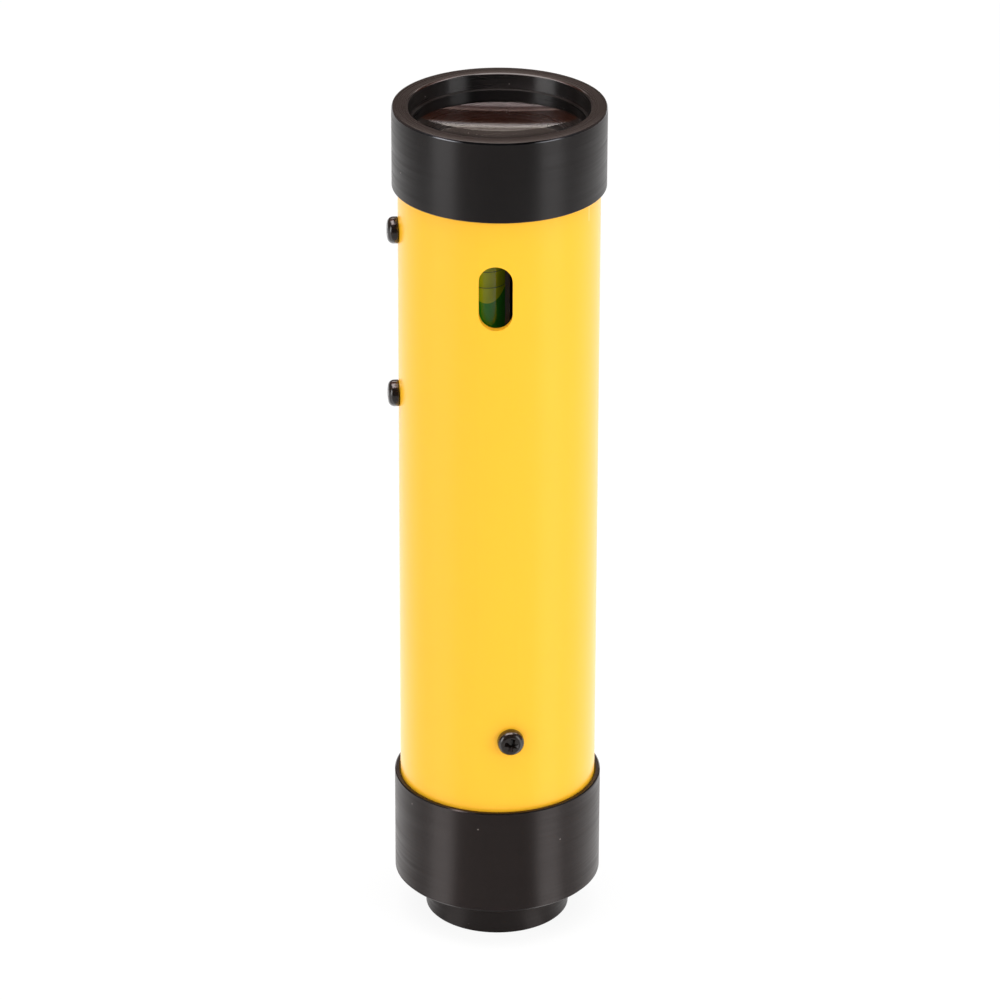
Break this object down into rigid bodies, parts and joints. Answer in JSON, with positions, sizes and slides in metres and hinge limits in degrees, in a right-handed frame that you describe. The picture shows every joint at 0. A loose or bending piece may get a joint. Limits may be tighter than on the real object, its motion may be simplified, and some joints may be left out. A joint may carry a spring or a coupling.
{
  "type": "hand level",
  "caption": "Hand-held surveying level: a round sighting tube with a lens at each end, a focusing eyepiece and a spirit vial seen through a window.",
  "frame": {"origin": "centre of the eyepiece stub's end face, on which the level stands", "axes": "+Z along the sight line towards the objective end; -Y out through the vial window; the side screws are on the -X side"},
  "size_m": [0.0392, 0.0391, 0.159],
  "materials": {
    "yellow_enamel": "satin",
    "black_anodised": "satin",
    "screw_steel": "gloss",
    "inner_black": "matte",
    "lens_glass": "polished",
    "vial_glass": "polished",
    "green_spirit": "polished",
    "air": "polished",
    "mirror": "polished",
    "plug_cement": "matte"
  },
  "bodies": {
    "eyepiece": {"eyepiece_cap": "black_anodised", "eye_cell": "black_anodised", "draw_tube": "inner_black", "erector_cell": "inner_black", "erector_front_lens": "lens_glass", "erector_rear_lens": "lens_glass", "erector_spacer": "inner_black", "erector_retaining_ring": "inner_black", "eye_lens": "lens_glass", "field_lens": "lens_glass", "eyepiece_spacer": "inner_black", "field_stop": "inner_black", "eyepiece_retaining_ring": "inner_black"},
    "sight_tube": {"main_tube": "yellow_enamel", "objective_cap": "black_anodised", "objective_retaining_ring": "black_anodised", "objective_front_lens": "lens_glass", "objective_rear_lens": "lens_glass", "vial_carrier": "inner_black", "carrier_side_plate": "inner_black", "vial_glass": "vial_glass", "vial_plug_upper": "plug_cement", "vial_plug_lower": "plug_cement", "vial_liquid": "green_spirit", "bubble_mirror": "mirror", "bubble_lens": "lens_glass", "side_screw_upper": "screw_steel", "side_screw_lower": "screw_steel", "guide_screw": "screw_steel", "glare_stop": "inner_black", "reticle_cell": "inner_black", "reticle_glass": "lens_glass", "reticle_retaining_ring": "inner_black"},
    "bubble": {"bubble": "air"}
  },
  "joints": [
    {"name": "eyepiece_focus", "type": "slide", "parent": "eyepiece", "child": "sight_tube", "axis": [0, 0, 1], "range_m": [-0.002, 0.006]},
    {"name": "bubble_slide", "type": "slide", "parent": "sight_tube", "child": "bubble", "axis": [0, 0, 1], "range_m": [-0.0072, 0], "deforming": ["vial_liquid"]}
  ]
}
